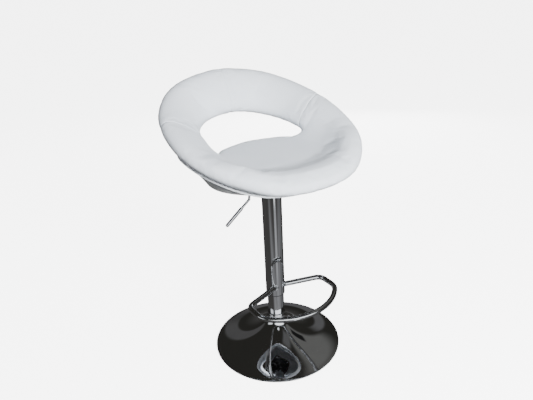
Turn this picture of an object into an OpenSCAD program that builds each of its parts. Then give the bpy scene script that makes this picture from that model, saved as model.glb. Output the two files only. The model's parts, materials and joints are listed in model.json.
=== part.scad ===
// Adjustable swivel stool with a padded ring seat, a gas-lift column, a footrest loop
// and a trumpet base. Origin: on the floor, on the column axis. +Z up, the sitter faces -Y.
// The seat is shown at the bottom of its travel.

/* [Base] */
// Radius of the chromed dish at its rim
dish_rim_r = 192.5; // [175:0.5:210]
// Height of the top of the dish's neck
dish_neck_z = 106; // [100:1:110]
// Radius of the tight curve under the neck
neck_curve_r = 45; // [43:1:48]
// How far the neck curve turns before the wide curve takes over
neck_turn = 46; // [45:0.5:48]
// Slope of the dish at its rim
rim_slope = 5; // [4:0.5:6]
// Thickness of the dish's sheet
dish_wall = 2; // [1.5:0.1:2.4]
// Radius of the ballast disc
ballast_r = 142; // [110:1:148]

/* [Column] */
// Outer radius of the fixed standpipe
standpipe_r = 25; // [24:0.1:25.4]
// Height of the standpipe's top
standpipe_top_z = 492; // [470:1:496]
// Outer radius of the sliding shroud tube
shroud_r = 28.5; // [28:0.1:30]
// Height of the shroud's lower end
shroud_low_z = 178; // [150:1:190]
// Radius of the gas spring's pressure tube
gas_tube_r = 14; // [13:0.1:15]
// Radius of the piston rod
rod_r = 5; // [4:0.1:5.5]
// Height of the piston rod's top
rod_top_z = 304; // [290:1:320]

/* [Footrest] */
// Height of the footrest loop's centre line
foot_z = 210; // [200:1:220]
// Radius of the footrest's round bar
foot_bar_r = 8; // [6:0.5:9]
// Half width of the loop, on the bar's centre line
foot_half_w = 130; // [120:1:150]
// Radius of the wide front arc
foot_front_r = 160; // [150:1:170]
// Centre of the front arc, ahead of the column (negative is forward)
foot_front_y = -27; // [-40:1:-20]
// Radius of the front corners
foot_side_r = 45; // [35:1:55]
// Radius of the rear corners
foot_rear_r = 26; // [20:1:30]
// Place of the rear corners' centres
foot_rear_y = -76; // [-80:1:-70]
// Slope of the two arms that run back to the column
foot_arm_slope = 17; // [12:1:20]

/* [Seat] */
// Height of the seat shell's flat underside
seat_floor_z = 577; // [576:1:579]
// Half width of the ring's rim
seat_half_w = 264; // [245:1:275]
// Distance from the column axis to the front of the rim
seat_front = 234; // [220:1:245]
// Distance from the column axis to the back of the rim
seat_back = 275; // [255:1:290]
// Height of the top of the backrest's rim
back_rim_z = 809; // [790:1:830]
// Height of the padding's crown above the ring's middle surface at the back
back_crown = 35; // [28:1:36]
// The same at the front
front_crown = 24; // [20:1:28]
// Extra height of the thick roll round the front edge
front_roll = 13; // [6:1:16]
// How far the sitting surface dips behind the roll
pan_dip = 8; // [2:1:10]
// Radius of the steel hoop inside the padding
hoop_r = 5; // [4:0.5:9]
// Radius of the piping cord
piping_r = 2.6; // [2:0.1:3]

/* [Seat plate] */
// Side of the square steel plate
plate_side = 168; // [160:1:180]
// Distance between the seat bolts
bolt_pitch = 140; // [130:1:145]
// Side of the plywood board
board_side = 190; // [185:1:200]

/* [Lever] */
// Distance of the lever's pivot from the column axis
lever_pivot_x = 40; // [38:1:44]
// Radius of the lever's rod
lever_rod_r = 3.5; // [3:0.1:3.6]
// Radius of the handle sleeve
lever_sleeve_r = 5; // [4:0.1:6]

/* [Hidden] */
$fn = 96;

// Base levels
floor_ring_h = 2.6;
rim_lip = 3.5;
ballast_low_z = 2;
ballast_mid_z = 9.5;
ballast_top_z = 22;
ballast_hub_r = 66;
socket_r = 29;
socket_top_z = 72;
pipe_low_z = 12;
pipe_floor = 4;
pipe_wall = 2;
neck_gap = 0.5;
neck_r = standpipe_r + neck_gap + dish_wall;

// Curves of the dish: the neck curve, then the wide curve, meeting tangentially
neck_c = [neck_r + neck_curve_r, dish_neck_z];
join_p = neck_c - neck_curve_r * [cos(neck_turn), sin(neck_turn)];
wide_r = (dish_rim_r - join_p[0]) / (cos(neck_turn) - sin(rim_slope));
wide_c = join_p + wide_r * [cos(neck_turn), sin(neck_turn)];
rim_z = wide_c[1] - wide_r * cos(rim_slope);

// Stack of the thrust bearing on the standpipe's floor
race_h = 2;
ball_r = 2;
race_r = 17;
ball_circle_r = 12;
ball_count = 12;
race_low_z = pipe_low_z + pipe_floor;
ball_z = race_low_z + race_h + ball_r;
race_top_z = ball_z + ball_r;
bump_low_z = race_top_z + race_h;
bump_h = 15;
run_gap = 0.05;

// Gas spring
tube_low_z = bump_low_z + bump_h + 0.3;
tube_top_z = 556;
tube_bore_r = gas_tube_r - 1.7;
tube_bore_top_z = 530;
tube_taper_z = 502;
tube_tip_r = gas_tube_r - 1;
rod_guide_h = 18;
piston_h = 12;
valve_r = 3;
lever_z = 566;
valve_top_z = lever_z - lever_rod_r - 0.4;
lever_pin_r = 2.5;
hub_r = 7;
bend_swell = 0.25;
rod_seat = 3;

// Parts under the seat
plate_h = 3;
plate_low_z = seat_floor_z - plate_h;
plate_corner_r = 14;
shroud_wall = 1.5;
bush_lip = 2.5;
bush_h = 32;
socket_wall = 6;
window_w = 10;
board_h = 10;
board_corner_r = 40;
bolt_r = 3;
nut_barrel_r = 4;
nut_flange_r = 9;
nut_flange_h = 1.2;
washer_h = 1.5;
washer_r = 8;
head_h = 4;
head_r = 5.8;
pocket_gap = 0.3;

// Footrest corners, worked out so that every arc meets the next one tangentially
front_turn = asin((foot_half_w - foot_side_r) / (foot_front_r - foot_side_r));
side_c = [foot_half_w - foot_side_r, foot_front_y - (foot_front_r - foot_side_r) * cos(front_turn)];
rear_c = [foot_half_w - foot_rear_r, foot_rear_y];
foot_sides = 16;
weld_gap = 0.2;

// Ring seat: its outer rim and inner eye at every 30 degrees from the front round to the back.
// The left half mirrors the right half.
ring_stations = [
  [[0, -seat_front, 597], [0, 128, 615]],
  [[seat_half_w * 0.485, 27 - seat_front, 607], [88, 111, 613]],
  [[seat_half_w * 0.85, 120 - seat_front, 647], [133, 62, 620]],
  [[seat_half_w, 14, 688], [151, 62, 646]],
  [[seat_half_w * 0.91, seat_back - 124, 739], [133, 149, 661]],
  [[seat_half_w * 0.565, seat_back - 23, back_rim_z - 23], [75, 206, 677]],
  [[0, seat_back, back_rim_z], [0, 206, 690]]
];
station_step = 30;
wide_section = 140;
roll_place = 48;
roll_spread = 40;
underside_crown = 22.5;
pan_underside = 9;
shell_gap = 0.9;
shell_turn = 96;
shell_eye = 0.05;
shell_rim = 0.84;
shell_draw = 0.08;
shell_floor_a = 190;
shell_floor_b = 140;
shell_mid_y = -30;

// ---------- ring seat geometry ----------

function station(k) =
  let (m = (k % 12 + 12) % 12, s = ring_stations[m <= 6 ? m : 12 - m])
  m <= 6 ? s : [for (p = s) [-p[0], p[1], p[2]]];

// Smooth curve through the stations (side 0 is the rim, side 1 is the eye)
function ring_point(t, side) =
  let (
    k = floor(t / station_step),
    f = t / station_step - k,
    a = station(k - 1)[side],
    b = station(k)[side],
    c = station(k + 1)[side],
    d = station(k + 2)[side]
  )
  b + 0.5 * f * (c - a + f * (2 * a - 5 * b + 4 * c - d + f * (3 * (b - c) + d - a)));

function middle(t) = (ring_point(t, 0) + ring_point(t, 1)) / 2;

function unit(v) = v / norm(v);

// Frame of the section at angle t: [eye, across, up, width]
function section_frame(t) =
  let (
    eye = ring_point(t, 1),
    span = ring_point(t, 0) - eye,
    across = unit(span),
    along = middle(t + 2) - middle(t - 2)
  )
  [eye, across, unit(cross(across, along)), norm(span)];

function blend(x) = let (c = max(0, min(1, x))) c * c * (3 - 2 * c);

// Edge rounding across the section: 0 at both edges and 1 in the middle
function edge_round(s, width) =
  let (n = 2.4 + 3 * blend((width - wide_section) / 150))
  pow(1 - pow(abs(2 * s - 1), n), 1 / n);

// The roll is a rise near the rim of a wide section
function roll_shape(s, width) = exp(-pow((width * (1 - s) - roll_place) / roll_spread, 2));

function top_height(s, t, width) =
  let (
    w = blend((width - wide_section) / 150),
    crown = front_crown + (back_crown - front_crown) * (1 - cos(t)) / 2,
    roll = roll_shape(s, width)
  )
  edge_round(s, width) * (crown + w * (front_roll * roll - pan_dip * (1 - roll)));

function low_height(s, t, width) =
  let (
    w = blend((width - wide_section) / 150),
    roll = roll_shape(s, width)
  )
  -edge_round(s, width) * (underside_crown - w * (1 - roll) * (underside_crown - pan_underside));

function frame_point(f, s, v) = f[0] + f[1] * f[3] * s + f[2] * v;

function section_ring(t, steps) =
  let (f = section_frame(t))
  [for (q = [0:steps - 1])
    let (a = q * 360 / steps, s = (1 - cos(a)) / 2)
    frame_point(f, s, a < 180 ? top_height(s, t, f[3]) : low_height(s, t, f[3]))];

// Closed skin over a list of rings of equal length; looped joins the last ring to the first
module skin(rings, looped) {
  count = len(rings);
  n = len(rings[0]);
  last = looped ? count - 1 : count - 2;
  faces = [
    for (i = [0:last])
      for (j = [0:n - 1])
        let (
          a = i * n + j,
          b = i * n + (j + 1) % n,
          c = ((i + 1) % count) * n + (j + 1) % n,
          d = ((i + 1) % count) * n + j
        )
        for (face = [[a, b, c], [a, c, d]]) face
  ];
  caps = looped ? [] : [
    [for (j = [n - 1:-1:0]) j],
    [for (j = [0:n - 1]) (count - 1) * n + j]
  ];
  polyhedron(points = [for (ring = rings) for (p = ring) p], faces = concat(faces, caps));
}

// ---------- shared shapes ----------

module ring_solid(outer, inner, low, height) {
  translate([0, 0, low])
    difference() {
      cylinder(r = outer, h = height);
      translate([0, 0, -1]) cylinder(r = inner, h = height + 2);
    }
}

// Band of a circle between two angles, for a sheet's curved profile
module arc_band(centre, inner, outer, from, to) {
  reach = outer * 1.5;
  translate(centre)
    intersection() {
      difference() {
        circle(r = outer, $fn = 180);
        circle(r = inner, $fn = 180);
      }
      polygon([[0, 0], reach * [cos(from), sin(from)], reach * [cos(to), sin(to)]]);
    }
}

module at_bolts() {
  for (x = [-1, 1])
    for (y = [-1, 1])
      translate([x * bolt_pitch / 2, y * bolt_pitch / 2, 0]) children();
}

module rounded_plate(side, corner, height) {
  linear_extrude(height)
    union() {
      square([side, side - 2 * corner], center = true);
      square([side - 2 * corner, side], center = true);
      for (x = [-1, 1])
        for (y = [-1, 1])
          translate([x, y] * (side / 2 - corner)) circle(r = corner);
    }
}

// ---------- base ----------

module floor_ring() {
  color("#1c1c1e") ring_solid(dish_rim_r - dish_wall - 1.2, dish_rim_r - 15, 0, floor_ring_h);
}

module base_dish() {
  color("#c9c9cc")
    rotate_extrude($fn = 180)
      union() {
        translate([neck_r - dish_wall, dish_neck_z]) square([dish_wall, 4]);
        arc_band(neck_c, neck_curve_r, neck_curve_r + dish_wall, 180, 180 + neck_turn);
        arc_band(wide_c, wide_r, wide_r + dish_wall, 180 + neck_turn, 270 - rim_slope);
        translate([dish_rim_r - dish_wall, rim_z - rim_lip]) square([dish_wall, rim_lip]);
      }
}

module ballast_disc() {
  color("#3a3a3c")
    union() {
      ring_solid(ballast_r, socket_r, ballast_low_z, ballast_mid_z - ballast_low_z);
      ring_solid(ballast_hub_r, socket_r, ballast_mid_z, ballast_top_z - ballast_mid_z);
    }
}

module column_socket() {
  color("#6d6d70")
    union() {
      ring_solid(socket_r, 14, ballast_low_z, pipe_low_z - ballast_low_z);
      ring_solid(socket_r, standpipe_r, pipe_low_z, socket_top_z - pipe_low_z);
    }
}

module standpipe() {
  color("#c9c9cc")
    difference() {
      translate([0, 0, pipe_low_z]) cylinder(r = standpipe_r, h = standpipe_top_z - pipe_low_z);
      translate([0, 0, race_low_z]) cylinder(r = standpipe_r - pipe_wall, h = standpipe_top_z);
      translate([0, 0, pipe_low_z - 1]) cylinder(r = rod_r + 0.5, h = pipe_floor + 2);
    }
}

module guide_bush() {
  color("#e6e4dc")
    union() {
      ring_solid(standpipe_r - pipe_wall, gas_tube_r + run_gap, standpipe_top_z - 90, 90);
      ring_solid(standpipe_r, gas_tube_r + run_gap, standpipe_top_z, 3);
    }
}

module lower_race() {
  color("#9a9a9e") ring_solid(race_r, rod_r + 0.6, race_low_z, race_h);
}

module bearing_cage() {
  color("#b08d4a")
    difference() {
      ring_solid(race_r - 1, rod_r + 2, ball_z - 0.6, 1.2);
      for (k = [0:ball_count - 1])
        rotate([0, 0, k * 360 / ball_count])
          translate([ball_circle_r, 0, ball_z - 2]) cylinder(r = ball_r + 0.1, h = 4);
    }
}

module bearing_balls() {
  color("#d0d0d4")
    for (k = [0:ball_count - 1])
      rotate([0, 0, k * 360 / ball_count])
        translate([ball_circle_r, 0, ball_z]) sphere(r = ball_r - 0.02);
}

module rod_washer() {
  color("#9a9a9e") ring_solid(11, rod_r + 0.5, pipe_low_z - 1.6, 1.5);
}

module rod_clip() {
  color("#55555a")
    difference() {
      ring_solid(9, rod_r - 1, pipe_low_z - 3, 1.2);
      translate([-1.5, 0, pipe_low_z - 4]) cube([3, 12, 4]);
    }
}

// ---------- swivelling piston rod ----------

module upper_race() {
  color("#9a9a9e") ring_solid(race_r, rod_r, race_top_z, race_h);
}

module bump_stop() {
  color("#1c1c1e") ring_solid(13, rod_r, bump_low_z, bump_h);
}

module piston_rod() {
  color("#dcdce0")
    difference() {
      translate([0, 0, pipe_low_z - 5]) cylinder(r = rod_r, h = rod_top_z - pipe_low_z + 5);
      ring_solid(rod_r + 1, rod_r - 1.1, pipe_low_z - 3.1, 1.4);
    }
}

module piston_head() {
  color("#8a8a8e") ring_solid(tube_bore_r - run_gap, rod_r, rod_top_z - piston_h, piston_h - 1);
}

// ---------- parts that rise with the seat ----------

module gas_tube() {
  color("#2a2a2c")
    difference() {
      union() {
        translate([0, 0, tube_low_z]) cylinder(r = gas_tube_r, h = tube_taper_z - tube_low_z);
        translate([0, 0, tube_taper_z])
          cylinder(r1 = gas_tube_r, r2 = tube_tip_r, h = tube_top_z - tube_taper_z);
      }
      translate([0, 0, tube_low_z - 1]) cylinder(r = tube_bore_r, h = tube_bore_top_z - tube_low_z + 1);
      translate([0, 0, tube_bore_top_z - 1]) cylinder(r = valve_r + run_gap, h = 40);
    }
}

module rod_guide() {
  color("#3c3c40") ring_solid(tube_bore_r, rod_r + run_gap, tube_low_z + 1, rod_guide_h);
}

module taper_socket() {
  color("#6d6d70")
    difference() {
      translate([0, 0, tube_taper_z]) cylinder(r = gas_tube_r + socket_wall, h = plate_low_z - tube_taper_z);
      translate([0, 0, tube_taper_z])
        cylinder(r1 = gas_tube_r, r2 = tube_tip_r, h = tube_top_z - tube_taper_z);
      translate([0, 0, tube_top_z - 0.01]) cylinder(r = gas_tube_r, h = 40);
      translate([-gas_tube_r - socket_wall - 1, -window_w / 2, tube_top_z + 1])
        cube([gas_tube_r + socket_wall + 1, window_w, 40]);
    }
}

module shroud_tube() {
  color("#c9c9cc")
    difference() {
      ring_solid(shroud_r, shroud_r - shroud_wall, shroud_low_z + bush_lip,
        plate_low_z - shroud_low_z - bush_lip);
      translate([-shroud_r - 1, -window_w / 2, tube_top_z + 1]) cube([shroud_r, window_w, 40]);
    }
}

module shroud_bush() {
  color("#202022")
    union() {
      ring_solid(shroud_r - shroud_wall, standpipe_r + run_gap, shroud_low_z + bush_lip, bush_h);
      ring_solid(shroud_r - 0.2, standpipe_r + run_gap, shroud_low_z, bush_lip);
    }
}

// Half of the footrest's centre line, from the middle of the front round to the column:
// [x, y, heading] at each step, where heading 0 runs along +X
foot_half_path = concat(
  [for (k = [0:10]) let (a = front_turn * k / 10)
    [foot_front_r * sin(a), foot_front_y - foot_front_r * cos(a), a]],
  [for (k = [1:8]) let (a = front_turn + (90 - front_turn) * k / 8)
    [side_c[0] + foot_side_r * sin(a), side_c[1] - foot_side_r * cos(a), a]],
  [for (k = [0:12]) let (a = 90 + (90 - foot_arm_slope) * k / 12)
    [rear_c[0] + foot_rear_r * sin(a), rear_c[1] - foot_rear_r * cos(a), a]]
);

// Distance back from a point to the shroud's surface along a heading
function to_shroud(p, heading) =
  let (
    d = [cos(heading), sin(heading)],
    half = p * d,
    clear = p * p - pow(shroud_r + weld_gap, 2)
  )
  -half - sqrt(half * half - clear);

// Ring of points round the bar's centre line: across the heading, and up
function foot_ring(p, x_side, r) =
  [for (q = [0:foot_sides - 1])
    let (a = q * 360 / foot_sides, across = r * cos(a))
    [x_side * (p[0] + across * sin(p[2])), p[1] - across * cos(p[2]), foot_z + r * sin(a)]];

// Rings of the bar's coped end: each point is carried along the arm until it meets the shroud
function foot_weld(p, x_side, r) =
  [for (q = foot_ring(p, 1, r))
    let (run = to_shroud([q[0], q[1]], p[2]))
    [x_side * (q[0] + run * cos(p[2])), q[1] + run * sin(p[2]), q[2]]];

module footrest_loop() {
  count = len(foot_half_path);
  end = foot_half_path[count - 1];
  cope = [for (k = [0:4]) foot_bar_r * (1 - 0.2 * k)];
  color("#c9c9cc")
    skin(concat(
      [for (k = [4:-1:0]) foot_weld(end, -1, cope[k])],
      [for (k = [count - 1:-1:1]) foot_ring(foot_half_path[k], -1, foot_bar_r)],
      [for (k = [0:count - 1]) foot_ring(foot_half_path[k], 1, foot_bar_r)],
      [for (k = [0:4]) foot_weld(end, 1, cope[k])]
    ), false);
}

module seat_plate() {
  color("#2e2e30")
    difference() {
      translate([0, 0, plate_low_z]) rounded_plate(plate_side, plate_corner_r, plate_h);
      at_bolts() translate([0, 0, plate_low_z - 1]) cylinder(r = bolt_r + 0.3, h = plate_h + 2);
    }
}

module lever_bracket() {
  color("#2e2e30")
    for (side = [-1, 1])
      translate([-lever_pivot_x, side * 8 - 1, 0])
        difference() {
          union() {
            translate([-7, 0, lever_z]) cube([14, 2, plate_low_z - lever_z]);
            translate([0, 2, lever_z]) rotate([90, 0, 0]) cylinder(r = 7, h = 2);
          }
          translate([0, 3, lever_z]) rotate([90, 0, 0]) cylinder(r = lever_pin_r, h = 4);
        }
}

module lever_pin() {
  color("#9a9a9e")
    translate([-lever_pivot_x, 11, lever_z])
      rotate([90, 0, 0])
        union() {
          cylinder(r = lever_pin_r, h = 22);
          translate([0, 0, 20.2]) cylinder(r = 4, h = 1.8);
          cylinder(r = 4, h = 1.8);
        }
}

module seat_board() {
  color("#b58e5e")
    difference() {
      translate([0, 0, seat_floor_z]) rounded_plate(board_side, board_corner_r, board_h);
      at_bolts() translate([0, 0, seat_floor_z - 1]) cylinder(r = nut_barrel_r, h = board_h + 2);
    }
}

module seat_bolts() {
  color("#a8a8ac")
    at_bolts()
      union() {
        translate([0, 0, plate_low_z - washer_h - head_h]) cylinder(r = head_r, h = head_h, $fn = 6);
        translate([0, 0, plate_low_z - washer_h]) cylinder(r = bolt_r, h = 15);
      }
}

module bolt_washers() {
  color("#b4b4b8")
    at_bolts() ring_solid(washer_r, bolt_r + 0.3, plate_low_z - washer_h, washer_h);
}

module tee_nuts() {
  color("#a8a8ac")
    at_bolts()
      union() {
        ring_solid(nut_barrel_r, bolt_r, seat_floor_z + 1, board_h - 1);
        ring_solid(nut_flange_r, bolt_r, seat_floor_z + board_h, nut_flange_h);
      }
}

// Point on the top of the shell, just under the cushion
function shell_top(t, s) =
  let (f = section_frame(t))
  frame_point(f, s, low_height(s, t, f[3]) - shell_gap);

// Where the shell's rim edge lies across the section: it draws in towards the sides
function shell_reach(t) = shell_rim - shell_draw * pow(t / shell_turn, 2);

function shell_angle(i) = shell_turn * (2 * i / shell_steps - 1);

function shell_across(t, j) = shell_reach(t) + (shell_eye - shell_reach(t)) * j / shell_cross;

// Edge of the shell: along the rim, across, back along the eye, across
shell_steps = 48;
shell_cross = 12;
shell_edge = concat(
  [for (i = [0:shell_steps]) [shell_angle(i), shell_reach(shell_angle(i))]],
  [for (j = [1:shell_cross - 1]) [shell_turn, shell_across(shell_turn, j)]],
  [for (i = [shell_steps:-1:0]) [shell_angle(i), shell_eye]],
  [for (j = [shell_cross - 1:-1:1]) [-shell_turn, shell_across(-shell_turn, j)]]
);

// Height below the shell's floor down to which its wall runs before the floor is cut flat
shell_trim = 2;

// Point of the floor's oval outline below a point of the top edge
function shell_floor(p) =
  let (a = atan2((p[1] - shell_mid_y) / shell_floor_b, p[0] / shell_floor_a))
  [shell_floor_a * cos(a), shell_mid_y + shell_floor_b * sin(a), seat_floor_z - shell_trim];

// The wall flares straight from the floor and is rounded where the two meet.
// Each row is [part of the way in, part of the way down].
shell_rows = [[0, 0], [0.3, 0.3], [0.6, 0.6], [0.8, 0.82], [0.9, 0.95], [1, 1]];

function shell_row(k) =
  [for (e = shell_edge)
    let (p = shell_top(e[0], e[1]), q = shell_floor(p), in = shell_rows[k][0], down = shell_rows[k][1])
    [p[0] + (q[0] - p[0]) * in, p[1] + (q[1] - p[1]) * in, p[2] + (q[2] - p[2]) * down]];

module shell_solid() {
  n = len(shell_edge);
  last_row = len(shell_rows) - 1;
  wall = [for (k = [0:last_row]) for (p = shell_row(k)) p];
  inner = [
    for (i = [1:shell_steps - 1])
      for (j = [1:shell_cross - 1])
        shell_top(shell_angle(i), shell_across(shell_angle(i), j))
  ];
  base = len(wall);
  function grid(i, j) =
    j == 0 ? i :
    j == shell_cross ? 2 * shell_steps + shell_cross - i :
    i == 0 ? n - j :
    i == shell_steps ? shell_steps + j :
    base + (i - 1) * (shell_cross - 1) + j - 1;
  top_faces = [
    for (i = [0:shell_steps - 1])
      for (j = [0:shell_cross - 1])
        let (a = grid(i, j), b = grid(i + 1, j), c = grid(i + 1, j + 1), d = grid(i, j + 1))
        for (face = [[a, c, b], [a, d, c]]) face
  ];
  wall_faces = [
    for (k = [0:last_row - 1])
      for (m = [0:n - 1])
        let (a = k * n + m, b = k * n + (m + 1) % n, c = a + n, d = b + n)
        for (face = [[a, b, d], [a, d, c]]) face
  ];
  floor_face = [[for (m = [0:n - 1]) last_row * n + m]];
  polyhedron(points = concat(wall, inner), faces = concat(top_faces, wall_faces, floor_face));
}

module seat_shell() {
  color("#8f9296")
    difference() {
      shell_solid();
      translate([-250, -250, seat_floor_z - 20]) cube([500, 500, 20]);
      translate([0, 0, seat_floor_z - 1])
        rounded_plate(board_side + 2 * pocket_gap, board_corner_r + pocket_gap, board_h + nut_flange_h + 1.8);
    }
}

// Ring of points round a cord or tube that follows the seat's sections
function cord_ring(centre, f, r, sides) =
  [for (q = [0:sides - 1])
    let (a = q * 360 / sides)
    centre + r * (f[1] * cos(a) + f[2] * sin(a))];

module piping() {
  steps = 64;
  color("#e4e6ea")
    skin([
      for (i = [0:steps])
        let (
          t = shell_turn * (2 * i / steps - 1),
          f = section_frame(t),
          place = shell_reach(t) + 0.035,
          drop = low_height(place, t, f[3]) - piping_r - shell_gap
        )
        cord_ring(frame_point(f, place, drop), f, piping_r, 8)
    ], false);
}

module frame_hoop() {
  steps = 72;
  color("#2e2e30")
    skin([
      for (i = [0:steps - 1])
        let (t = i * 360 / steps, f = section_frame(t))
        cord_ring(frame_point(f, 1 - 52 / f[3], 2), f, hoop_r, 10)
    ], true);
}

module seat_cushion() {
  steps = 96;
  color("#dfe3e8")
    skin([for (i = [0:steps - 1]) section_ring(i * 360 / steps, 28)], true);
}

// ---------- valve and release lever ----------

module valve_pin() {
  color("#c9c9cc")
    translate([0, 0, tube_bore_top_z + 8]) cylinder(r = valve_r, h = valve_top_z - tube_bore_top_z - 8);
}

// Corners of the lever's centre line: distance along X, height
lever_path = [[-65, lever_z], [-73, 505], [-145.5, 449.5]];
sleeve_from = lever_path[1] + 0.34 * (lever_path[2] - lever_path[1]);

module rod_between(a, b, r) {
  run = b - a;
  translate([a[0], 0, a[1]])
    rotate([0, atan2(run[0], run[1]), 0]) cylinder(r = r, h = norm(run));
}

module lever_hub() {
  color("#8a8a8e")
    difference() {
      union() {
        translate([-lever_pivot_x, 6.6, lever_z]) rotate([90, 0, 0]) cylinder(r = hub_r, h = 13.2);
        translate([-lever_pivot_x, -3, lever_z - lever_rod_r]) cube([lever_pivot_x + 4, 6, 6]);
      }
      translate([-lever_pivot_x, 8, lever_z]) rotate([90, 0, 0]) cylinder(r = lever_pin_r + run_gap, h = 16);
      translate([-lever_pivot_x - hub_r - 1, 0, lever_z])
        rotate([0, 90, 0]) cylinder(r = lever_rod_r, h = rod_seat + 1);
    }
}

module lever_rod() {
  color("#c9c9cc")
    union() {
      rod_between([rod_seat - lever_pivot_x - hub_r, lever_z], lever_path[0], lever_rod_r);
      for (k = [0:1]) {
        rod_between(lever_path[k], lever_path[k + 1], lever_rod_r);
        translate([lever_path[k][0], 0, lever_path[k][1]]) sphere(r = lever_rod_r + bend_swell);
      }
    }
}

module lever_sleeve() {
  run = lever_path[2] - sleeve_from;
  color("#d4d4d8")
    translate([sleeve_from[0], 0, sleeve_from[1]])
      rotate([0, atan2(run[0], run[1]), 0])
        rotate_extrude()
          union() {
            translate([lever_rod_r, 0]) square([lever_sleeve_r - lever_rod_r, norm(run)]);
            translate([0, norm(run)])
              intersection() {
                circle(r = lever_sleeve_r);
                square(lever_sleeve_r);
              }
          }
}

floor_ring();
base_dish();
ballast_disc();
column_socket();
standpipe();
guide_bush();
lower_race();
bearing_cage();
bearing_balls();
rod_washer();
rod_clip();
upper_race();
bump_stop();
piston_rod();
piston_head();
gas_tube();
rod_guide();
taper_socket();
shroud_tube();
shroud_bush();
footrest_loop();
seat_plate();
lever_bracket();
lever_pin();
seat_board();
seat_bolts();
bolt_washers();
tee_nuts();
seat_shell();
piping();
frame_hoop();
seat_cushion();
valve_pin();
lever_hub();
lever_rod();
lever_sleeve();
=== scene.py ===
"""Looks of the adjustable swivel stool: a padded ring seat on a chromed gas-lift column.

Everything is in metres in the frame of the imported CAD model: origin on the floor on the column axis,
+Z up, the sitter faces -Y.
"""

import json
import math

import bmesh
import bpy
import numpy as np
from mathutils import Matrix, Vector, noise
from mathutils.bvhtree import BVHTree


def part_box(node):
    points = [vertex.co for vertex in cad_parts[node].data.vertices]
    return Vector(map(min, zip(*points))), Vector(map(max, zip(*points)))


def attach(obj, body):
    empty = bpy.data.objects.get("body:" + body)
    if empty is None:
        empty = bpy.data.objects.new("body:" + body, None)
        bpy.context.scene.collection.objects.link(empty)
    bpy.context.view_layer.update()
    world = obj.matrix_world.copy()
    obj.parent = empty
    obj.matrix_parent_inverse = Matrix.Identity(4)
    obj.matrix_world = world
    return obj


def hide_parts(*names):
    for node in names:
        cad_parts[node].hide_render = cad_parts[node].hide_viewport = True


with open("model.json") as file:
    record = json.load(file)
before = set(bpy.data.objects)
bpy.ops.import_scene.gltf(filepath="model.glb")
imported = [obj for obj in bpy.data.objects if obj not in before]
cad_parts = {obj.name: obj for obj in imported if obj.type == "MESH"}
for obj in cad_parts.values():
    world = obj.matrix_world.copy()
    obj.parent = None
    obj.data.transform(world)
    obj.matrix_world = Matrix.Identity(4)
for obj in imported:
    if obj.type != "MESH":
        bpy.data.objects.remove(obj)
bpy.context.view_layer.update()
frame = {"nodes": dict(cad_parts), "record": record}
nodes = frame["nodes"]


# ---------------------------------------------------------------- shader helpers


def new_material(name):
    """(material, its node tree, its Principled shader)."""
    mat = bpy.data.materials.new(name)
    mat.use_nodes = True
    tree = mat.node_tree
    return mat, tree, tree.nodes["Principled BSDF"]


def add(tree, kind, **sockets):
    """A new node, with its plain attributes and input values set."""
    node = tree.nodes.new(kind)
    for key, value in sockets.items():
        if hasattr(node, key):
            setattr(node, key, value)
        else:
            node.inputs[key.replace("_", " ")].default_value = value
    return node


def object_vector(tree, scale=(1, 1, 1)):
    """Object coordinates, stretched by a scale for each axis."""
    coord = add(tree, "ShaderNodeTexCoord")
    mapping = add(tree, "ShaderNodeMapping")
    mapping.inputs["Scale"].default_value = scale
    tree.links.new(coord.outputs["Object"], mapping.inputs["Vector"])
    return mapping.outputs["Vector"]


def noise_tex(tree, vector, scale, detail=3.0, rough=0.55):
    tex = add(tree, "ShaderNodeTexNoise", Scale=scale, Detail=detail, Roughness=rough)
    tree.links.new(vector, tex.inputs["Vector"])
    return tex.outputs["Fac"]


def map_range(tree, value, low, high, to_low, to_high):
    node = add(tree, "ShaderNodeMapRange")
    for key, number in zip(("From Min", "From Max", "To Min", "To Max"), (low, high, to_low, to_high)):
        node.inputs[key].default_value = number
    tree.links.new(value, node.inputs["Value"])
    return node.outputs["Result"]


def mix_colour(tree, fac, a, b):
    """Colour between a and b by a varying factor."""
    node = add(tree, "ShaderNodeMix", data_type="RGBA")
    node.inputs[6].default_value = (*a, 1)
    node.inputs[7].default_value = (*b, 1)
    tree.links.new(fac, node.inputs[0])
    return node.outputs[2]


def bump(tree, height, strength, distance, normal=None):
    node = add(tree, "ShaderNodeBump", Strength=strength, Distance=distance)
    tree.links.new(height, node.inputs["Height"])
    if normal is not None:
        tree.links.new(normal, node.inputs["Normal"])
    return node.outputs["Normal"]


def math_node(tree, operation, a, b=None):
    node = add(tree, "ShaderNodeMath", operation=operation)
    for i, value in enumerate((a, b)):
        if value is None:
            continue
        if isinstance(value, (int, float)):
            node.inputs[i].default_value = value
        else:
            tree.links.new(value, node.inputs[i])
    return node.outputs[0]


# ---------------------------------------------------------------- materials


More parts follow.
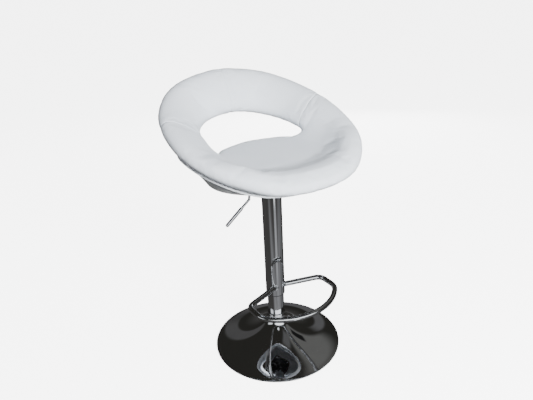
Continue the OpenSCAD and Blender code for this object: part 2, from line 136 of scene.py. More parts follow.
def chrome(name, tint=(0.80, 0.81, 0.83), rough=0.035, drawn=False):
    """Mirror chrome with faint smears, and fine lines along the tube where it is drawn."""
    mat, tree, shader = new_material(name)
    vector = object_vector(tree)
    smear = noise_tex(tree, vector, 22, 4)
    dust = noise_tex(tree, vector, 900, 2)
    shader.inputs["Metallic"].default_value = 1.0
    dark = tuple(c * 0.95 for c in tint)
    tree.links.new(
        mix_colour(tree, map_range(tree, smear, 0.35, 0.7, 0, 1), tint, dark), shader.inputs["Base Color"]
    )
    fine = map_range(tree, dust, 0.62, 0.8, 0.0, 0.03)
    broad = map_range(tree, smear, 0.4, 0.75, rough, rough * 2.1)
    tree.links.new(math_node(tree, "ADD", fine, broad), shader.inputs["Roughness"])
    normal = bump(tree, noise_tex(tree, vector, 55, 2), 0.03, 0.0003)
    if drawn:
        lines = noise_tex(tree, object_vector(tree, (1, 1, 0.01)), 1600, 2)
        normal = bump(tree, lines, 0.02, 0.00006, normal)
    tree.links.new(normal, shader.inputs["Normal"])
    return mat


def metal(name, colour, rough, grain=260, depth=0.00012, metallic=1.0):
    """Bare, cast or plated metal with a mottled surface."""
    mat, tree, shader = new_material(name)
    vector = object_vector(tree)
    mottle = noise_tex(tree, vector, grain * 0.3, 5)
    shader.inputs["Metallic"].default_value = metallic
    darker = tuple(c * 0.8 for c in colour)
    tree.links.new(mix_colour(tree, mottle, colour, darker), shader.inputs["Base Color"])
    tree.links.new(
        map_range(tree, mottle, 0.3, 0.7, rough * 0.85, rough * 1.2), shader.inputs["Roughness"]
    )
    tree.links.new(bump(tree, noise_tex(tree, vector, grain, 4), 0.5, depth), shader.inputs["Normal"])
    return mat


def moulded(name, colour, rough, grain=1400, depth=0.00006, coat=0.0):
    """Moulded plastic, rubber or paint: a fine even texture and slight unevenness of tone."""
    mat, tree, shader = new_material(name)
    vector = object_vector(tree)
    tone = noise_tex(tree, vector, 45, 3)
    shader.inputs["Coat Weight"].default_value = coat
    lighter = tuple(min(1.0, c * 1.18 + 0.004) for c in colour)
    tree.links.new(mix_colour(tree, tone, colour, lighter), shader.inputs["Base Color"])
    tree.links.new(map_range(tree, tone, 0.3, 0.7, rough * 0.9, rough * 1.1), shader.inputs["Roughness"])
    tree.links.new(bump(tree, noise_tex(tree, vector, grain, 3), 0.6, depth), shader.inputs["Normal"])
    return mat


def plywood(name):
    """Dark-stained plywood: long grain on the faces and plies along the edges."""
    mat, tree, shader = new_material(name)
    grain = noise_tex(tree, object_vector(tree, (3, 40, 40)), 6, 5)
    plies = add(tree, "ShaderNodeTexWave", bands_direction="Z", Scale=190, Distortion=0.6)
    tree.links.new(object_vector(tree), plies.inputs["Vector"])
    streak = math_node(tree, "ADD", grain, map_range(tree, plies.outputs["Fac"], 0, 1, -0.12, 0.12))
    stain = mix_colour(
        tree, map_range(tree, streak, 0.3, 0.75, 0, 1), (0.060, 0.050, 0.042), (0.032, 0.026, 0.021)
    )
    tree.links.new(stain, shader.inputs["Base Color"])
    shader.inputs["Roughness"].default_value = 0.62
    tree.links.new(bump(tree, grain, 0.3, 0.0003), shader.inputs["Normal"])
    return mat


def leatherette(name, colour, rough=0.44):
    """White coated fabric: pebbled grain of about a millimetre with painted shade in the grooves between
    the pebbles, soft sheen and faint handling marks.
    """
    mat, tree, shader = new_material(name)
    vector = object_vector(tree)
    pebble = add(tree, "ShaderNodeTexVoronoi", feature="F1", Scale=820, Randomness=0.95)
    fold = noise_tex(tree, vector, 160, 4)
    stretched = add(tree, "ShaderNodeVectorMath", operation="ADD")
    soft = add(tree, "ShaderNodeVectorMath", operation="SCALE")
    soft.inputs["Scale"].default_value = 0.0012
    warp = add(tree, "ShaderNodeTexNoise", Scale=240, Detail=2)
    tree.links.new(vector, warp.inputs["Vector"])
    tree.links.new(warp.outputs["Color"], soft.inputs[0])
    tree.links.new(vector, stretched.inputs[0])
    tree.links.new(soft.outputs[0], stretched.inputs[1])
    tree.links.new(stretched.outputs[0], pebble.inputs["Vector"])
    cells = map_range(tree, pebble.outputs["Distance"], 0.0, 0.75, 1.0, 0.0)
    mark = noise_tex(tree, vector, 9, 4)
    shade = tuple(c * s for c, s in zip(colour, (0.945, 0.95, 0.96)))
    tone = map_range(tree, mark, 0.42, 0.72, 0.0, 0.7)
    # painted shade: the colour darkens towards the edges of the pebbles, where the bump sets the grooves
    pebble_groove_shade = map_range(tree, pebble.outputs["Distance"], 0.45, 0.85, 0.0, 0.25)
    tree.links.new(
        mix_colour(tree, math_node(tree, "ADD", tone, pebble_groove_shade), colour, shade), shader.inputs["Base Color"]
    )
    broad = map_range(tree, mark, 0.3, 0.7, rough - 0.04, rough + 0.06)
    fine = map_range(tree, pebble.outputs["Distance"], 0.3, 0.8, 0.0, 0.1)
    tree.links.new(math_node(tree, "ADD", broad, fine), shader.inputs["Roughness"])
    shader.inputs["Specular IOR Level"].default_value = 0.42
    shader.inputs["Sheen Weight"].default_value = 0.08
    shader.inputs["Sheen Roughness"].default_value = 0.4
    normal = bump(tree, fold, 0.12, 0.0006)
    tree.links.new(bump(tree, cells, 0.32, 0.00022, normal), shader.inputs["Normal"])
    return mat


def thread(name, colour):
    """Twisted sewing thread, with painted shade in the grooves of the twist."""
    mat, tree, shader = new_material(name)
    twist = add(tree, "ShaderNodeTexWave", bands_direction="DIAGONAL", Scale=900, Distortion=1.5)
    tree.links.new(object_vector(tree), twist.inputs["Vector"])
    # painted shade: the colour is darker where the twist's bump is lowest
    twist_groove_shade = tuple(c * 0.8 for c in colour)
    tree.links.new(mix_colour(tree, twist.outputs["Fac"], twist_groove_shade, colour), shader.inputs["Base Color"])
    shader.inputs["Roughness"].default_value = 0.6
    tree.links.new(bump(tree, twist.outputs["Fac"], 0.5, 0.0002), shader.inputs["Normal"])
    return mat


WHITE = (0.77, 0.82, 0.88)
MATERIALS = {
    "chrome": chrome("chrome_dish"),
    "chrome_column": chrome("chrome_column", rough=0.04, drawn=True),
    "chrome_bar": chrome("chrome_bar", rough=0.10),
    "chrome_lever": chrome("chrome_lever", rough=0.07),
    "chrome_rod": chrome("chrome_rod", (0.84, 0.84, 0.86), 0.05),
    "cast_iron": metal("cast_iron", (0.09, 0.09, 0.095), 0.7, 420, 0.0006, 0.6),
    "plain_steel": metal("plain_steel", (0.40, 0.40, 0.42), 0.4),
    "bearing_steel": metal("bearing_steel", (0.62, 0.62, 0.64), 0.18),
    "zinc_steel": metal("zinc_steel", (0.62, 0.63, 0.66), 0.32, 700),
    "spring_steel": metal("spring_steel", (0.24, 0.24, 0.26), 0.35),
    "cage_brass": metal("cage_brass", (0.62, 0.46, 0.22), 0.3),
    "floor_rubber": moulded("floor_rubber", (0.022, 0.022, 0.024), 0.75),
    "pale_plastic": moulded("pale_plastic", (0.72, 0.71, 0.66), 0.5),
    "black_plastic": moulded("black_plastic", (0.018, 0.018, 0.02), 0.42),
    "black_paint": moulded("black_paint", (0.02, 0.02, 0.022), 0.38, 600, 0.0001, 0.2),
    "plywood": plywood("plywood"),
    "white_leatherette": leatherette("white_leatherette", WHITE),
    # painted shade: a darker, greyer copy of the white leatherette, standing in for the shade on the seat's
    # underside
    "white_leatherette_under": leatherette("white_leatherette_under", (0.74, 0.76, 0.78), 0.5),
    # painted highlight: a lighter copy of the white leatherette, standing in for the light the piping's
    # rounded top catches
    "white_piping": leatherette("white_piping", (0.82, 0.86, 0.90), 0.4),
}
THREAD = thread("white_thread", (0.85, 0.87, 0.90))


def finish_piece(obj, slot, body, *stands_for):
    """Gives a new piece its material, smooth shading and body, and hides what it stands for."""
    obj.data.materials.clear()
    obj.data.materials.append(MATERIALS[slot])
    for polygon in obj.data.polygons:
        polygon.use_smooth = True
    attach(obj, body)
    if stands_for:
        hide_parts(*stands_for)
    return obj


def mesh_object(name, verts, faces):
    mesh = bpy.data.meshes.new(name)
    mesh.from_pydata([tuple(v) for v in verts], [], faces)
    mesh.validate()
    mesh.update()
    obj = bpy.data.objects.new(name, mesh)
    bpy.context.scene.collection.objects.link(obj)
    return obj


# ---------------------------------------------------------------- sweeps and turned shapes


def revolve(name, profile, steps):
    """A closed turned shape from a closed loop of (radius, height) points."""
    count = len(profile)
    verts, faces = [], []
    for k in range(steps):
        a = 2 * math.pi * k / steps
        verts += [(r * math.cos(a), r * math.sin(a), z) for r, z in profile]
    for k in range(steps):
        n = (k + 1) % steps
        for i in range(count):
            j = (i + 1) % count
            faces.append((k * count + i, n * count + i, n * count + j, k * count + j))
    return mesh_object(name, verts, faces)


def sweep(name, path, radius, sides):
    """A round bar along a path of points, with flat ends. The radius may be a list, one for each point."""
    path = [Vector(p) for p in path]
    last = len(path) - 1
    radii = radius if isinstance(radius, (list, tuple)) else [radius] * (last + 1)
    tangents = [(path[min(i + 1, last)] - path[max(i - 1, 0)]).normalized() for i in range(last + 1)]
    side = tangents[0].orthogonal().normalized()
    verts, faces = [], []
    for i, (p, t, r) in enumerate(zip(path, tangents, radii)):
        side = (side - t * side.dot(t)).normalized()
        other = t.cross(side)
        for q in range(sides):
            a = 2 * math.pi * q / sides
            verts.append(p + r * (side * math.cos(a) + other * math.sin(a)))
        if i:
            for q in range(sides):
                b, c = (i - 1) * sides, i * sides
                n = (q + 1) % sides
                faces.append((b + q, b + n, c + n, c + q))
    faces.append(tuple(range(sides - 1, -1, -1)))
    faces.append(tuple(range(last * sides, (last + 1) * sides)))
    return mesh_object(name, verts, faces)


def smooth_path(points, per_span):
    """Catmull-Rom curve through the points."""
    points = [Vector(p) for p in points]
    last = len(points) - 1
    out = []
    for i in range(last):
        a, b = points[max(i - 1, 0)], points[i]
        c, d = points[i + 1], points[min(i + 2, last)]
        for k in range(per_span):
            f = k / per_span
            out.append(
                b + 0.5 * f * (c - a + f * (2 * a - 5 * b + 4 * c - d + f * (3 * (b - c) + d - a)))
            )
    return [*out, points[-1]]


# ---------------------------------------------------------------- chromed base, column and footrest

# The dish's two arcs: a tight one under the neck, then a wide one down to the rim
SHEET = 0.002
NECK_GAP = 0.0005
COLLAR_H = 0.004
NECK_ARC_R = 0.045
NECK_ARC_TURN = math.radians(46)
RIM_SLOPE = math.radians(5)


def dish_profile(inset):
    """Points (radius, height) from the neck out to the rim, a given depth below the dish's surface."""
    _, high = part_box("base_dish")
    _, pipe_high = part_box("standpipe")
    rim = high.x
    neck_r = pipe_high.x + NECK_GAP + SHEET
    arc_z = high.z - COLLAR_H
    centre = Vector((neck_r + NECK_ARC_R, arc_z))
    join = centre - NECK_ARC_R * Vector((math.cos(NECK_ARC_TURN), math.sin(NECK_ARC_TURN)))
    wide_r = (rim - join.x) / (math.cos(NECK_ARC_TURN) - math.sin(RIM_SLOPE))
    wide = join + wide_r * Vector((math.cos(NECK_ARC_TURN), math.sin(NECK_ARC_TURN)))
    points = [(neck_r - inset, high.z)]
    for k in range(25):
        a = math.pi + NECK_ARC_TURN * k / 24
        r = NECK_ARC_R + inset
        points.append((centre.x + r * math.cos(a), centre.y + r * math.sin(a)))
    start, end = math.pi + NECK_ARC_TURN, 1.5 * math.pi - RIM_SLOPE
    for k in range(1, 61):
        a = start + (end - start) * k / 60
        r = wide_r + inset
        points.append((wide.x + r * math.cos(a), wide.y + r * math.sin(a)))
    return points


def make_dish():
    low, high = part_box("base_dish")
    rim = high.x
    top = dish_profile(0.0)
    under = dish_profile(SHEET)
    lip_z = top[-1][1]
    # rounded fold at the rim, the rolled edge, then back under the sheet
    fold = [
        (rim - 0.0006, lip_z - 0.0001),
        (rim - 0.0001, lip_z - 0.0006),
        (rim, lip_z - 0.0012),
        (rim, low.z + 0.0005),
        (rim - 0.0005, low.z),
        (rim - SHEET + 0.0003, low.z),
        (rim - SHEET, low.z + 0.0004),
    ]
    profile = top[:-1] + [(rim - 0.0018, lip_z + 0.0001)] + fold
    profile += [p for p in reversed(under) if p[0] < rim - SHEET - 0.0004]
    obj = revolve("base_dish_chromed", profile, 256)
    finish_piece(obj, "chrome", "base", "base_dish")


make_dish()

# The footrest's arcs, as in the CAD: a wide front arc, two corners, two rear corners and two arms
FRONT_R, FRONT_Y = 0.160, -0.027
SIDE_R = 0.045
REAR_R, REAR_Y = 0.026, -0.076
ARM_SLOPE = math.radians(17)
ARM_BITE = 0.0012
BEAD_R = 0.0013


def footrest_half():
    """Centre line of half of the footrest, from the middle of its front to the shroud tube."""
    low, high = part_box("footrest_loop")
    bar = (high.z - low.z) / 2
    half_w = high.x - bar
    z = (high.z + low.z) / 2
    turn = math.asin((half_w - SIDE_R) / (FRONT_R - SIDE_R))
    side_c = (half_w - SIDE_R, FRONT_Y - (FRONT_R - SIDE_R) * math.cos(turn))
    arcs = [
        ((0, FRONT_Y), FRONT_R, 0, turn, 36),
        (side_c, SIDE_R, turn, math.pi / 2, 24),
        ((half_w - REAR_R, REAR_Y), REAR_R, math.pi / 2, math.pi - ARM_SLOPE, 30),
    ]
    points = []
    for (cx, cy), r, start, end, steps in arcs:
        for k in range(steps + 1):
            a = start + (end - start) * k / steps
            points.append(Vector((cx + r * math.sin(a), cy - r * math.cos(a), z)))
    heading = Vector((-math.cos(ARM_SLOPE), math.sin(ARM_SLOPE), 0))
    _, tube_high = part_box("shroud_tube")
    p = points[-1]
    half = p.x * heading.x + p.y * heading.y
    inside = tube_high.x - ARM_BITE
    run = -half - math.sqrt(half * half - (p.x**2 + p.y**2 - inside**2))
    steps = 14
    points += [p + heading * run * k / steps for k in range(1, steps + 1)]
    clean = [points[0]]
    for q in points[1:]:
        if (q - clean[-1]).length > 1e-5:
            clean.append(q)
    return clean, bar, heading


def make_footrest():
    half, bar, heading = footrest_half()
    mirrored = [Vector((-p.x, p.y, p.z)) for p in reversed(half)]
    path = mirrored[:-1] + half
    obj = sweep("footrest_bar", path, bar, 40)
    finish_piece(obj, "chrome_bar", "seat", "footrest_loop")
    # weld beads where the bar meets the shroud tube
    _, tube_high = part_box("shroud_tube")
    for side in (1, -1):
        end = half[-1]
        forward = Vector((side * heading.x, heading.y, 0))
        across = Vector((-forward.y, forward.x, 0))
        ring = []
        steps = 48
        for k in range(steps + 1):
            a = 2 * math.pi * k / steps
            p = Vector((side * end.x, end.y, end.z)) + (bar + 0.0006) * (
                across * math.cos(a) + Vector((0, 0, 1)) * math.sin(a)
            )
            flat = Vector((p.x, p.y))
            d = Vector((forward.x, forward.y))
            b = flat.dot(d)
            c = flat.dot(flat) - (tube_high.x + 0.0004) ** 2
            p = p + forward * (-b - math.sqrt(b * b - c))
            ring.append(p)
        radii = [
            BEAD_R * (1 + 0.22 * math.sin(9 * k) + 0.12 * math.sin(23 * k + 1)) for k in range(steps + 1)
        ]
        radii[-1] = radii[0]
        bead = sweep("weld_bead_" + ("right" if side > 0 else "left"), ring, radii, 12)
        finish_piece(bead, "chrome_bar", "seat")


make_footrest()


# ---------------------------------------------------------------- upholstery

# Seams of the cover: a point on each, its direction across the seam, and how far the seam reaches
SEAMS = [
    (Vector((0.0060, 0.2405, 0.7494)), Vector((1.0, 0.0, -0.03)).normalized(), 0.125),
    (Vector((0.1999, 0.0848, 0.6834)), Vector((0.366, -0.924, -0.107)).normalized(), 0.115),
    (Vector((-0.1990, 0.1003, 0.6878)), Vector((0.306, 0.939, 0.159)).normalized(), 0.115),
]
# The cover starts this far inside the CAD cushion, and a little further along the seams
START_INSET = 0.0008
SEAM_INSET = 0.0008
# Simulated folds: the most they may move a point, the share kept, and the rounds of averaging
# that tell the broad movement from the folds
FOLD_CAP = 0.0028
FOLD_SHARE = 0.45
FOLD_ROUNDS = 70
SIMULATED_FRAMES = 20
COVER_VOXEL = 0.0058
SHELL_VOXEL = 0.004
# The cushion rests on the shell within the first distance, and is free beyond the second
SEATED_WITHIN = 0.003
FREE_OVER = 0.03
# Half width of the strip along a seam where the cover is drawn in, the part of it that is sewn fast,
# and where edge loops are added beside the seam
SEAM_BAND = 0.03
SEWN_SHARE = 0.13
SEAM_LOOPS = (-0.0045, -0.0022, -0.0009, 0.0, 0.0009, 0.0022, 0.0045)
# Depths of the stitch line, of the hollow round it, and of the puckers beside it
STITCH_DEPTH, HOLLOW_DEPTH, PUCKER_DEPTH = 0.0012, 0.0006, 0.0009
SEAT_CENTRE_Y = 0.02


def seam_distance(p):
    """Signed distance to the nearest seam that reaches p, or None."""
    best = None
    for point, across, reach in SEAMS:
        v = p - point
        d = v.dot(across)
        if (v - across * d).length < reach and (best is None or abs(d) < abs(best)):
            best = d
    return best


def copy_of(node, name):
    """A welded copy of a CAD node's mesh as a new object."""
    obj = nodes[node].copy()
    obj.data = nodes[node].data.copy()
    obj.name = name
    obj.data.name = name
    for key in list(obj.keys()):
        if key.startswith("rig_"):
            del obj[key]
    obj.parent = None
    bpy.context.scene.collection.objects.link(obj)
    bm = bmesh.new()
    bm.from_mesh(obj.data)
    bmesh.ops.remove_doubles(bm, verts=bm.verts, dist=1e-6)
    bm.to_mesh(obj.data)
    bm.free()
    if obj.data.has_custom_normals:
        with bpy.context.temp_override(object=obj, active_object=obj, selected_objects=[obj]):
            bpy.ops.mesh.customdata_custom_splitnormals_clear()
    return obj


def apply_modifiers(obj):
    bpy.context.view_layer.update()
    evaluated = obj.evaluated_get(bpy.context.evaluated_depsgraph_get())
    mesh = bpy.data.meshes.new_from_object(evaluated)
    obj.modifiers.clear()
    old = obj.data
    obj.data = mesh
    bpy.data.meshes.remove(old)
    mesh.name = obj.name


def remesh(obj, size):
    mod = obj.modifiers.new("remesh", "REMESH")
    mod.mode = "VOXEL"
    mod.voxel_size = size
    mod.use_smooth_shade = True
    apply_modifiers(obj)


def relax(obj, rounds, factor=0.5):
    mod = obj.modifiers.new("relax", "SMOOTH")
    mod.iterations = rounds
    mod.factor = factor
    apply_modifiers(obj)


def coords(mesh):
    co = np.zeros(len(mesh.vertices) * 3, np.float64)
    mesh.vertices.foreach_get("co", co)
    return co.reshape(-1, 3)


def set_coords(mesh, co):
    mesh.vertices.foreach_set("co", np.asarray(co, np.float32).ravel())
    mesh.update()


def surface_of(obj):
    bm = bmesh.new()
    bm.from_mesh(obj.data)
    tree = BVHTree.FromBMesh(bm)
    bm.free()
    return tree


SHELL_SURFACE = surface_of(nodes["seat_shell"])


def pressed_share(p):
    """1 where the cushion rests on the shell, fading to 0 over 30 mm."""
    hit = SHELL_SURFACE.find_nearest(p, 0.04)
    if hit[0] is None:
        return 0.0
    return max(0.0, 1.0 - max(0.0, hit[3] - SEATED_WITHIN) / FREE_OVER)


def averaged(mesh, field, rounds):
    """A vector field over the vertices, averaged with its neighbours again and again."""
    ends = np.zeros(len(mesh.edges) * 2, np.int64)
    mesh.edges.foreach_get("vertices", ends)
    near, far = np.concatenate((ends[::2], ends[1::2])), np.concatenate((ends[1::2], ends[::2]))
    count = np.maximum(np.bincount(near, minlength=len(field)), 1)
    for _ in range(rounds):
        total = [np.bincount(near, weights=field[far, axis], minlength=len(field)) for axis in range(3)]
        field = 0.5 * (field + np.stack(total, axis=1) / count[:, None])
    return field


def swell(obj, pinned):
    """Blows the cover up while its sewn and seated places hold, then keeps a share of its folds."""
    group = obj.vertex_groups.new(name="held")
    for index, weight in pinned.items():
        group.add([index], weight, "REPLACE")
    start = coords(obj.data)
    cloth = obj.modifiers.new("cloth", "CLOTH")
    settings = cloth.settings
    settings.quality = 4
    settings.mass = 0.3
    settings.tension_stiffness = 8
    settings.compression_stiffness = 8
    settings.shear_stiffness = 3
    settings.bending_stiffness = 0.6
    settings.use_pressure = True
    settings.uniform_pressure_force = 7.0
    settings.vertex_group_mass = "held"
    settings.effector_weights.gravity = 0.0
    settings.pin_stiffness = 1.0
    cloth.collision_settings.use_collision = False
    cloth.point_cache.frame_start = 1
    cloth.point_cache.frame_end = SIMULATED_FRAMES
    scene = bpy.context.scene
    for f in range(1, SIMULATED_FRAMES + 1):
        scene.frame_set(f)
    evaluated = obj.evaluated_get(bpy.context.evaluated_depsgraph_get())
    moved = coords(evaluated.data) - start
    obj.modifiers.clear()
    obj.vertex_groups.clear()
    scene.frame_set(1)
    # the padding holds the broad shape, so only the cover's folds and puckers are kept
    folds = moved - averaged(obj.data, moved, FOLD_ROUNDS)
    length = np.linalg.norm(folds, axis=1)
    share = FOLD_CAP * np.tanh(FOLD_SHARE * length / FOLD_CAP) / np.maximum(length, 1e-9)
    set_coords(obj.data, start + folds * share[:, None])


def seam_groove(obj):
    """Adds edge loops along each seam and draws the cover into it, with small puckers from the stitches."""
    bm = bmesh.new()
    bm.from_mesh(obj.data)
    for point, across, reach in SEAMS:
        close = {
            v
            for v in bm.verts
            if abs((v.co - point).dot(across)) < 0.012 and (v.co - point).length < reach + 0.01
        }
        for offset in SEAM_LOOPS:
            faces = {f for v in close for f in v.link_faces}
            edges = {e for f in faces for e in f.edges}
            verts = {v for f in faces for v in f.verts}
            cut = bmesh.ops.bisect_plane(
                bm,
                geom=[*faces, *edges, *verts],
                dist=1e-5,
                plane_co=point + across * offset,
                plane_no=across,
            )
            close |= {v for v in cut["geom_cut"] if isinstance(v, bmesh.types.BMVert)}
    bm.normal_update()
    shift = {}
    for v in bm.verts:
        d = seam_distance(v.co)
        if d is None or abs(d) > SEAM_BAND:
            continue
        stitch = STITCH_DEPTH * math.exp(-((d / 0.0012) ** 2))
        ditch = stitch + HOLLOW_DEPTH * math.exp(-((d / 0.006) ** 2))
        along = noise.noise(v.co * 95)
        pucker = PUCKER_DEPTH * along * math.exp(-(((abs(d) - 0.007) / 0.0085) ** 2))
        shift[v] = -v.normal * ditch + v.normal * pucker
    for v, move in shift.items():
        v.co += move
    bm.to_mesh(obj.data)
    bm.free()


def make_cushion():
    obj = copy_of("seat_cushion", "seat_ring_cover")
    remesh(obj, COVER_VOXEL)
    relax(obj, 2)
    mesh = obj.data
    start = coords(mesh)
    normals = np.array([v.normal for v in mesh.vertices])
    pressed = np.array([pressed_share(Vector(p)) for p in start])
    seam = np.full(len(start), 1.0)
    for i, p in enumerate(start):
        d = seam_distance(Vector(p))
        if d is not None:
            seam[i] = min(1.0, abs(d) / SEAM_BAND)
    inset = START_INSET * (1 - pressed) + SEAM_INSET * (1 - seam) ** 2 * (1 - pressed)
    set_coords(mesh, start - normals * inset[:, None])
    held = {}
    for i in range(len(start)):
        weight = max(pressed[i], 1.0 if seam[i] < SEWN_SHARE else 0.0)
        if weight > 0.02:
            held[i] = float(weight)
    swell(obj, held)
    relax(obj, 2, 0.4)
    sub = obj.modifiers.new("subdivide", "SUBSURF")
    sub.levels = sub.render_levels = 1
    apply_modifiers(obj)
    seam_groove(obj)
    finish_piece(obj, "white_leatherette", "seat", "seat_cushion")
    return obj


def make_shell():
    """The upholstered under-shell: the CAD shell with its facets smoothed."""
    obj = copy_of("seat_shell", "seat_under_shell")
    remesh(obj, SHELL_VOXEL)
    relax(obj, 3, 0.4)
    sub = obj.modifiers.new("subdivide", "SUBSURF")
    sub.levels = sub.render_levels = 1
    apply_modifiers(obj)
    # the under-shell takes the leatherette copy with painted shade
    finish_piece(obj, "white_leatherette_under", "seat", "seat_shell")


def outward(p):
    """Level direction from the middle of the seat towards p."""
    return Vector((p.x, p.y - SEAT_CENTRE_Y, 0)).normalized()


def ring_centres(node, sides):
    """Centres of a cord's rings, in order round the seat from one side to the other."""
    points = {tuple(round(c, 6) for c in v.co) for v in nodes[node].data.vertices}
    ordered = sorted(points, key=lambda p: math.atan2(p[0], -(p[1] - SEAT_CENTRE_Y)))
    return [
        Vector(np.mean(ordered[k : k + sides], axis=0))
        for k in range(0, len(ordered) - sides + 1, sides)
    ]


# The piping's radius, the length of each end that tucks in, and how far it tucks in
PIPING_R = 0.0026
PIPING_END, PIPING_TUCK = 0.045, 0.011
# Where the stitches lie from the piping's centre line: outward and up
STITCH_OUT, STITCH_UP = 0.0065, 0.002


def make_piping():
    """The piping. Returns its centre line in fine steps, for the stitches."""
    centres = ring_centres("piping", 8)
    path = smooth_path(centres, 5)
    # both ends run in between the cushion and the shell, and get thinner
    along = [0.0]
    for a, b in zip(path, path[1:]):
        along.append(along[-1] + (b - a).length)
    from_end = [min(d, along[-1] - d) / PIPING_END for d in along]
    tuck = [max(0.0, 1 - share) ** 2 for share in from_end]
    path = [p - PIPING_TUCK * t * outward(p) for p, t in zip(path, tuck)]
    obj = sweep("seat_piping", path, [PIPING_R * (1 - 0.6 * t) for t in tuck], 16)
    # the piping takes the leatherette copy with painted highlight
    finish_piece(obj, "white_piping", "seat", "piping")
    return smooth_path(centres, 12)


def capsule(length, radius, sides=8):
    """Vertices and faces of a small thread stitch along X, thinner at its ends."""
    verts, faces = [], []
    stations = [(-1, 0.15), (-0.8, 0.7), (-0.4, 1.0), (0.4, 1.0), (0.8, 0.7), (1, 0.15)]
    for x, share in stations:
        sink = -0.6 * radius * (abs(x) ** 3)
        for q in range(sides):
            a = 2 * math.pi * q / sides
            verts.append(
                Vector((x * length / 2, radius * share * math.cos(a), sink + radius * share * math.sin(a)))
            )
    for i in range(len(stations) - 1):
        for q in range(sides):
            n = (q + 1) % sides
            faces.append((i * sides + q, i * sides + n, (i + 1) * sides + n, (i + 1) * sides + q))
    faces.append(tuple(range(sides - 1, -1, -1)))
    last = (len(stations) - 1) * sides
    faces.append(tuple(range(last, last + sides)))
    return verts, faces


def make_stitches(cover, line):
    """One row of lock stitches on the cover, just outside the piping."""
    surface = surface_of(cover)
    pitch, length, radius = 0.0052, 0.0040, 0.00055
    shape, shape_faces = capsule(length, radius)
    verts, faces = [], []
    travelled, next_at = 0.0, 0.01
    for a, b in zip(line, line[1:]):
        step = (b - a).length
        while next_at < travelled + step:
            p = a + (b - a) * ((next_at - travelled) / step)
            forward = (b - a).normalized()
            hit = surface.find_nearest(p + outward(p) * STITCH_OUT + Vector((0, 0, STITCH_UP)))
            if hit[0] is not None:
                normal = hit[1]
                across = normal.cross(forward).normalized()
                ahead = across.cross(normal)
                basis = Matrix((ahead, across, normal)).transposed()
                base = len(verts)
                verts += [hit[0] + normal * radius * 0.45 + basis @ v for v in shape]
                faces += [tuple(base + i for i in f) for f in shape_faces]
            next_at += pitch
        travelled += step
    obj = mesh_object("piping_stitches", verts, faces)
    finish_piece(obj, "white_piping", "seat")
    obj.data.materials.clear()
    obj.data.materials.append(THREAD)


cover = make_cushion()
make_shell()
piping_line = make_piping()
make_stitches(cover, piping_line)


# ---------------------------------------------------------------- CAD nodes that stay: better materials

for part in frame["record"]["subparts"]:
    for material_slot in nodes[part["node"]].material_slots:
        material_slot.link = "OBJECT"
        material_slot.material = MATERIALS[part["material_slot"]]


# ---------------------------------------------------------------- studio


def direction(azimuth, elevation):
    """Unit vector from the stool towards an azimuth and elevation, in degrees."""
    a, e = math.radians(azimuth), math.radians(elevation)
    return Vector((math.sin(a) * math.cos(e), -math.cos(a) * math.cos(e), math.sin(e)))


CAMERA_AZIMUTH = -33.5


def make_camera():
    distance, height = 1.3220, 1.0745
    yaw, pitch, roll = (math.radians(x) for x in (-0.624, 24.098, -2.697))
    turn = Matrix.Rotation(math.radians(CAMERA_AZIMUTH), 3, "Z")
    forward = Vector((math.sin(yaw) * math.cos(pitch), math.cos(yaw) * math.cos(pitch), -math.sin(pitch)))
    right = Vector((math.cos(yaw), -math.sin(yaw), 0))
    up = right.cross(forward)
    level_right = math.cos(roll) * right + math.sin(roll) * up
    level_up = -math.sin(roll) * right + math.cos(roll) * up
    axes = [turn @ v for v in (level_right, level_up, -forward)]
    data = bpy.data.cameras.new("camera")
    data.sensor_width = 36
    data.lens = 35.0
    data.clip_start, data.clip_end = 0.05, 100
    cam = bpy.data.objects.new("camera", data)
    bpy.context.scene.collection.objects.link(cam)
    cam.matrix_world = Matrix.Translation(turn @ Vector((0, -distance, height))) @ (
        Matrix(axes).transposed().to_4x4()
    )
    bpy.context.scene.camera = cam


make_camera()


# The floor and the backdrop glow, so that both stay pale under any light on the stool
FLOOR_GLOW = 5.6
BACKDROP_GLOW = (6.2, 6.2, 6.2)


def make_floor():
    size = 40.0
    obj = mesh_object(
        "floor", [(-size, -size, 0), (size, -size, 0), (size, size, 0), (-size, size, 0)], [(0, 1, 2, 3)]
    )
    mat, tree, shader = new_material("pale_floor")
    tone = noise_tex(tree, object_vector(tree), 3, 3)
    pale = mix_colour(tree, tone, (0.86, 0.865, 0.87), (0.88, 0.88, 0.88))
    tree.links.new(pale, shader.inputs["Base Color"])
    shader.inputs["Roughness"].default_value = 0.9
    shader.inputs["Specular IOR Level"].default_value = 0.1
    shader.inputs["Emission Color"].default_value = (1, 1, 1, 1)
    shader.inputs["Emission Strength"].default_value = FLOOR_GLOW
    obj.data.materials.append(mat)
    obj.visible_glossy = False
    obj.visible_diffuse = False


make_floor()


LIT_POINT = Vector((0, 0, 0.55))


def area_light(name, azimuth, elevation, distance, size, power):
    """A soft light aimed at the middle of the stool, which polished metal doesn't mirror."""
    data = bpy.data.lights.new(name, "AREA")
    data.shape = "RECTANGLE"
    data.size, data.size_y = size
    data.energy = power
    obj = bpy.data.objects.new(name, data)
    bpy.context.scene.collection.objects.link(obj)
    way = direction(azimuth, elevation)
    obj.location = LIT_POINT + way * distance
    obj.rotation_mode = "QUATERNION"
    obj.rotation_quaternion = (-way).to_track_quat("-Z", "Y")
    obj.visible_glossy = False


area_light("key", CAMERA_AZIMUTH + 30, 22, 2.6, (1.0, 1.0), 215)
area_light("overhead", CAMERA_AZIMUTH - 20, 80, 2.6, (2.4, 2.4), 2)
area_light("fill", CAMERA_AZIMUTH - 35, 30, 2.8, (1.8, 1.8), 12)
area_light("back", CAMERA_AZIMUTH + 170, 8, 2.8, (1.8, 1.2), 55)
area_light("left_side", CAMERA_AZIMUTH - 105, 4, 2.8, (1.8, 1.2), 16)


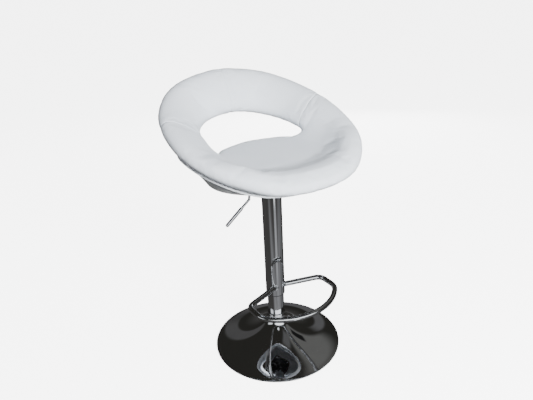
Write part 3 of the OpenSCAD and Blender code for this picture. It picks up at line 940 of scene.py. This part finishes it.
# Soft shapes that polished metal sees round the studio: azimuth and elevation of the middle,
# half width and half height in degrees, softness, brightness and colour
SEEN_IN_CHROME = [
    # below the horizon: what the upright column mirrors
    ((CAMERA_AZIMUTH + 22, -41), (64, 14), 0.9, 0.26, (1.0, 1.0, 1.03)),
    ((CAMERA_AZIMUTH + 30, -29), (17, 9), 0.8, 0.42, (0.98, 0.99, 1.03)),
    ((CAMERA_AZIMUTH + 27, -19), (6.5, 6.5), 0.5, 3.2, (0.95, 0.98, 1.0)),
    ((CAMERA_AZIMUTH + 180, -28), (26, 16), 0.8, 0.5, (0.98, 0.99, 1.03)),
    ((CAMERA_AZIMUTH + 95, -32), (20, 16), 0.8, 0.16, (0.98, 0.99, 1.03)),
    # level with the eye: the highlight along the bars, the lever and the rim
    ((CAMERA_AZIMUTH + 24, 20), (46, 19), 0.5, 2.4, (0.95, 0.98, 1.0)),
    ((CAMERA_AZIMUTH - 64, 18), (26, 11), 0.6, 1.3, (0.95, 0.98, 1.0)),
    # above: what the dish and the tops of the bars mirror
    ((CAMERA_AZIMUTH + 118, 48), (34, 20), 0.35, 0.13, (1.0, 1.0, 0.95)),
    ((CAMERA_AZIMUTH + 110, 40), (12, 5), 0.3, 0.012, (1.0, 1.0, 1.0)),
    ((CAMERA_AZIMUTH - 140, 24), (30, 9), 0.4, 0.08, (1.0, 0.98, 0.97)),
    ((CAMERA_AZIMUTH + 170, 20), (24, 7), 0.5, 0.11, (1.0, 0.99, 1.0)),
    ((CAMERA_AZIMUTH + 12, 54), (5, 3), 0.4, 1.6, (0.95, 0.98, 1.0)),
    ((CAMERA_AZIMUTH + 62, 62), (12, 14), 0.6, 0.10, (1.0, 1.0, 1.0)),
]
ROOM_DARK = (0.026, 0.025, 0.022)
ROOM_LOW = (0.062, 0.060, 0.058)
# Soft light on matt surfaces, from below and from above
SOFT_LOW = (0.02, 0.02, 0.021)
SOFT_HIGH = (0.10, 0.105, 0.115)


def make_world():
    """Matt surfaces see a soft gradient, metal sees the shapes above, and the camera a pale backdrop."""
    world = bpy.data.worlds.new("studio")
    bpy.context.scene.world = world
    world.use_nodes = True
    tree = world.node_tree
    tree.nodes.clear()
    coord = add(tree, "ShaderNodeTexCoord").outputs["Generated"]

    def dot(vector):
        node = add(tree, "ShaderNodeVectorMath", operation="DOT_PRODUCT")
        tree.links.new(coord, node.inputs[0])
        node.inputs[1].default_value = vector
        return node.outputs["Value"]

    height = dot((0, 0, 1))

    def blend_colours(fac, a, b):
        node = add(tree, "ShaderNodeMix", data_type="RGBA")
        for socket, value in ((node.inputs[6], a), (node.inputs[7], b)):
            if isinstance(value, tuple):
                socket.default_value = (*value, 1)
            else:
                tree.links.new(value, socket)
        tree.links.new(fac, node.inputs[0])
        return node.outputs[2]

    low_share = map_range(tree, height, 0.12, -0.3, 0.0, 1.0)
    seen = blend_colours(low_share, ROOM_DARK, ROOM_LOW)
    for (azimuth, elevation), (half_w, half_h), softness, level, colour in SEEN_IN_CHROME:
        middle = direction(azimuth, elevation)
        right = Vector((math.cos(math.radians(azimuth)), math.sin(math.radians(azimuth)), 0))
        up = right.cross(-middle)
        ahead = dot(middle)
        share = None
        for axis, half in ((right, half_w), (up, half_h)):
            slope = math_node(tree, "ABSOLUTE", math_node(tree, "DIVIDE", dot(axis), ahead))
            edge = math.tan(math.radians(half))
            part = add(tree, "ShaderNodeMapRange", interpolation_type="SMOOTHSTEP")
            part.inputs["From Min"].default_value = edge
            part.inputs["From Max"].default_value = edge * (1 - softness)
            tree.links.new(slope, part.inputs["Value"])
            inside = part.outputs["Result"]
            share = inside if share is None else math_node(tree, "MULTIPLY", share, inside)
        share = math_node(tree, "MULTIPLY", share, math_node(tree, "GREATER_THAN", ahead, 0.0))
        seen = blend_colours(share, seen, tuple(c * level for c in colour))

    soft = blend_colours(map_range(tree, height, -0.5, 0.6, 0.0, 1.0), SOFT_LOW, SOFT_HIGH)
    path = add(tree, "ShaderNodeLightPath")
    colour = blend_colours(path.outputs["Is Glossy Ray"], soft, seen)
    colour = blend_colours(path.outputs["Is Camera Ray"], colour, BACKDROP_GLOW)
    background = add(tree, "ShaderNodeBackground")
    tree.links.new(colour, background.inputs["Color"])
    output = add(tree, "ShaderNodeOutputWorld")
    tree.links.new(background.outputs[0], output.inputs["Surface"])


make_world()
